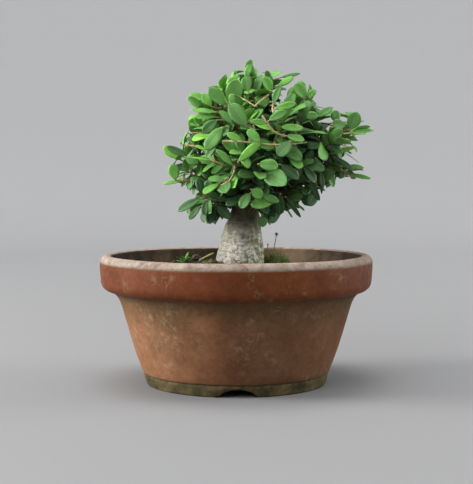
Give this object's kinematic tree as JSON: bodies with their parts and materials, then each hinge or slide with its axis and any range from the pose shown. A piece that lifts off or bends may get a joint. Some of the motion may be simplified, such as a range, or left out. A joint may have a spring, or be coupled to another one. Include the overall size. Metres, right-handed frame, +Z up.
{
  "type": "bonsai tree in a pot",
  "caption": "Small broadleaf bonsai with a thick tapering trunk and a dense rounded crown of obovate leaves, in a round flared clay pot with a thick rolled band and a notched foot.",
  "frame": {"origin": "on the pot's axis, in the plane that its foot ring stands on", "axes": "+Z up along the pot's axis; -Y towards the front, where the crown's face and one foot notch are; +X to the right seen from the front"},
  "size_m": [0.15, 0.15, 0.1748],
  "materials": {
    "clay": "matte",
    "plastic_mesh": "matte",
    "wire": "satin",
    "soil": "matte",
    "bark": "matte",
    "leaf": "satin",
    "moss": "matte",
    "dry_stem": "matte",
    "weed": "satin"
  },
  "bodies": {
    "root": {"pot": "clay", "drain_screen": "plastic_mesh", "screen_staple": "wire", "soil": "soil", "trunk": "bark", "moss_cushion_right": "moss", "moss_cushion_left": "moss", "moss_stalk_tall": "dry_stem", "moss_stalk_short": "dry_stem", "seedling": "weed", "fallen_stalk": "dry_stem", "soil_clod_1": "soil", "soil_clod_2": "soil", "soil_clod_3": "soil", "leafy_shoot_01": "leaf", "leafy_shoot_02": "leaf", "leafy_shoot_03": "leaf", "leafy_shoot_04": "leaf", "leafy_shoot_05": "leaf", "leafy_shoot_06": "leaf", "leafy_shoot_07": "leaf", "leafy_shoot_08": "leaf", "leafy_shoot_09": "leaf", "leafy_shoot_10": "leaf", "leafy_shoot_11": "leaf", "leafy_shoot_12": "leaf", "leafy_shoot_13": "leaf", "leafy_shoot_14": "leaf", "leafy_shoot_15": "leaf", "leafy_shoot_16": "leaf", "leafy_shoot_17": "leaf", "leafy_shoot_18": "leaf", "leafy_shoot_19": "leaf", "leafy_shoot_20": "leaf", "leafy_shoot_21": "leaf", "leafy_shoot_22": "leaf", "leafy_shoot_23": "leaf", "leafy_shoot_24": "leaf", "leafy_shoot_25": "leaf", "leafy_shoot_26": "leaf", "leafy_shoot_27": "leaf", "leafy_shoot_28": "leaf", "leafy_shoot_29": "leaf", "leafy_shoot_30": "leaf", "leafy_shoot_31": "leaf", "leafy_shoot_32": "leaf", "leafy_shoot_33": "leaf", "leafy_shoot_34": "leaf", "leafy_shoot_35": "leaf", "leafy_shoot_36": "leaf", "leafy_shoot_37": "leaf", "leafy_shoot_38": "leaf", "leafy_shoot_39": "leaf", "leafy_shoot_40": "leaf", "leafy_shoot_41": "leaf", "leafy_shoot_42": "leaf", "leafy_shoot_43": "leaf", "leafy_shoot_44": "leaf", "leafy_shoot_45": "leaf", "leafy_shoot_46": "leaf"}
  },
  "joints": []
}
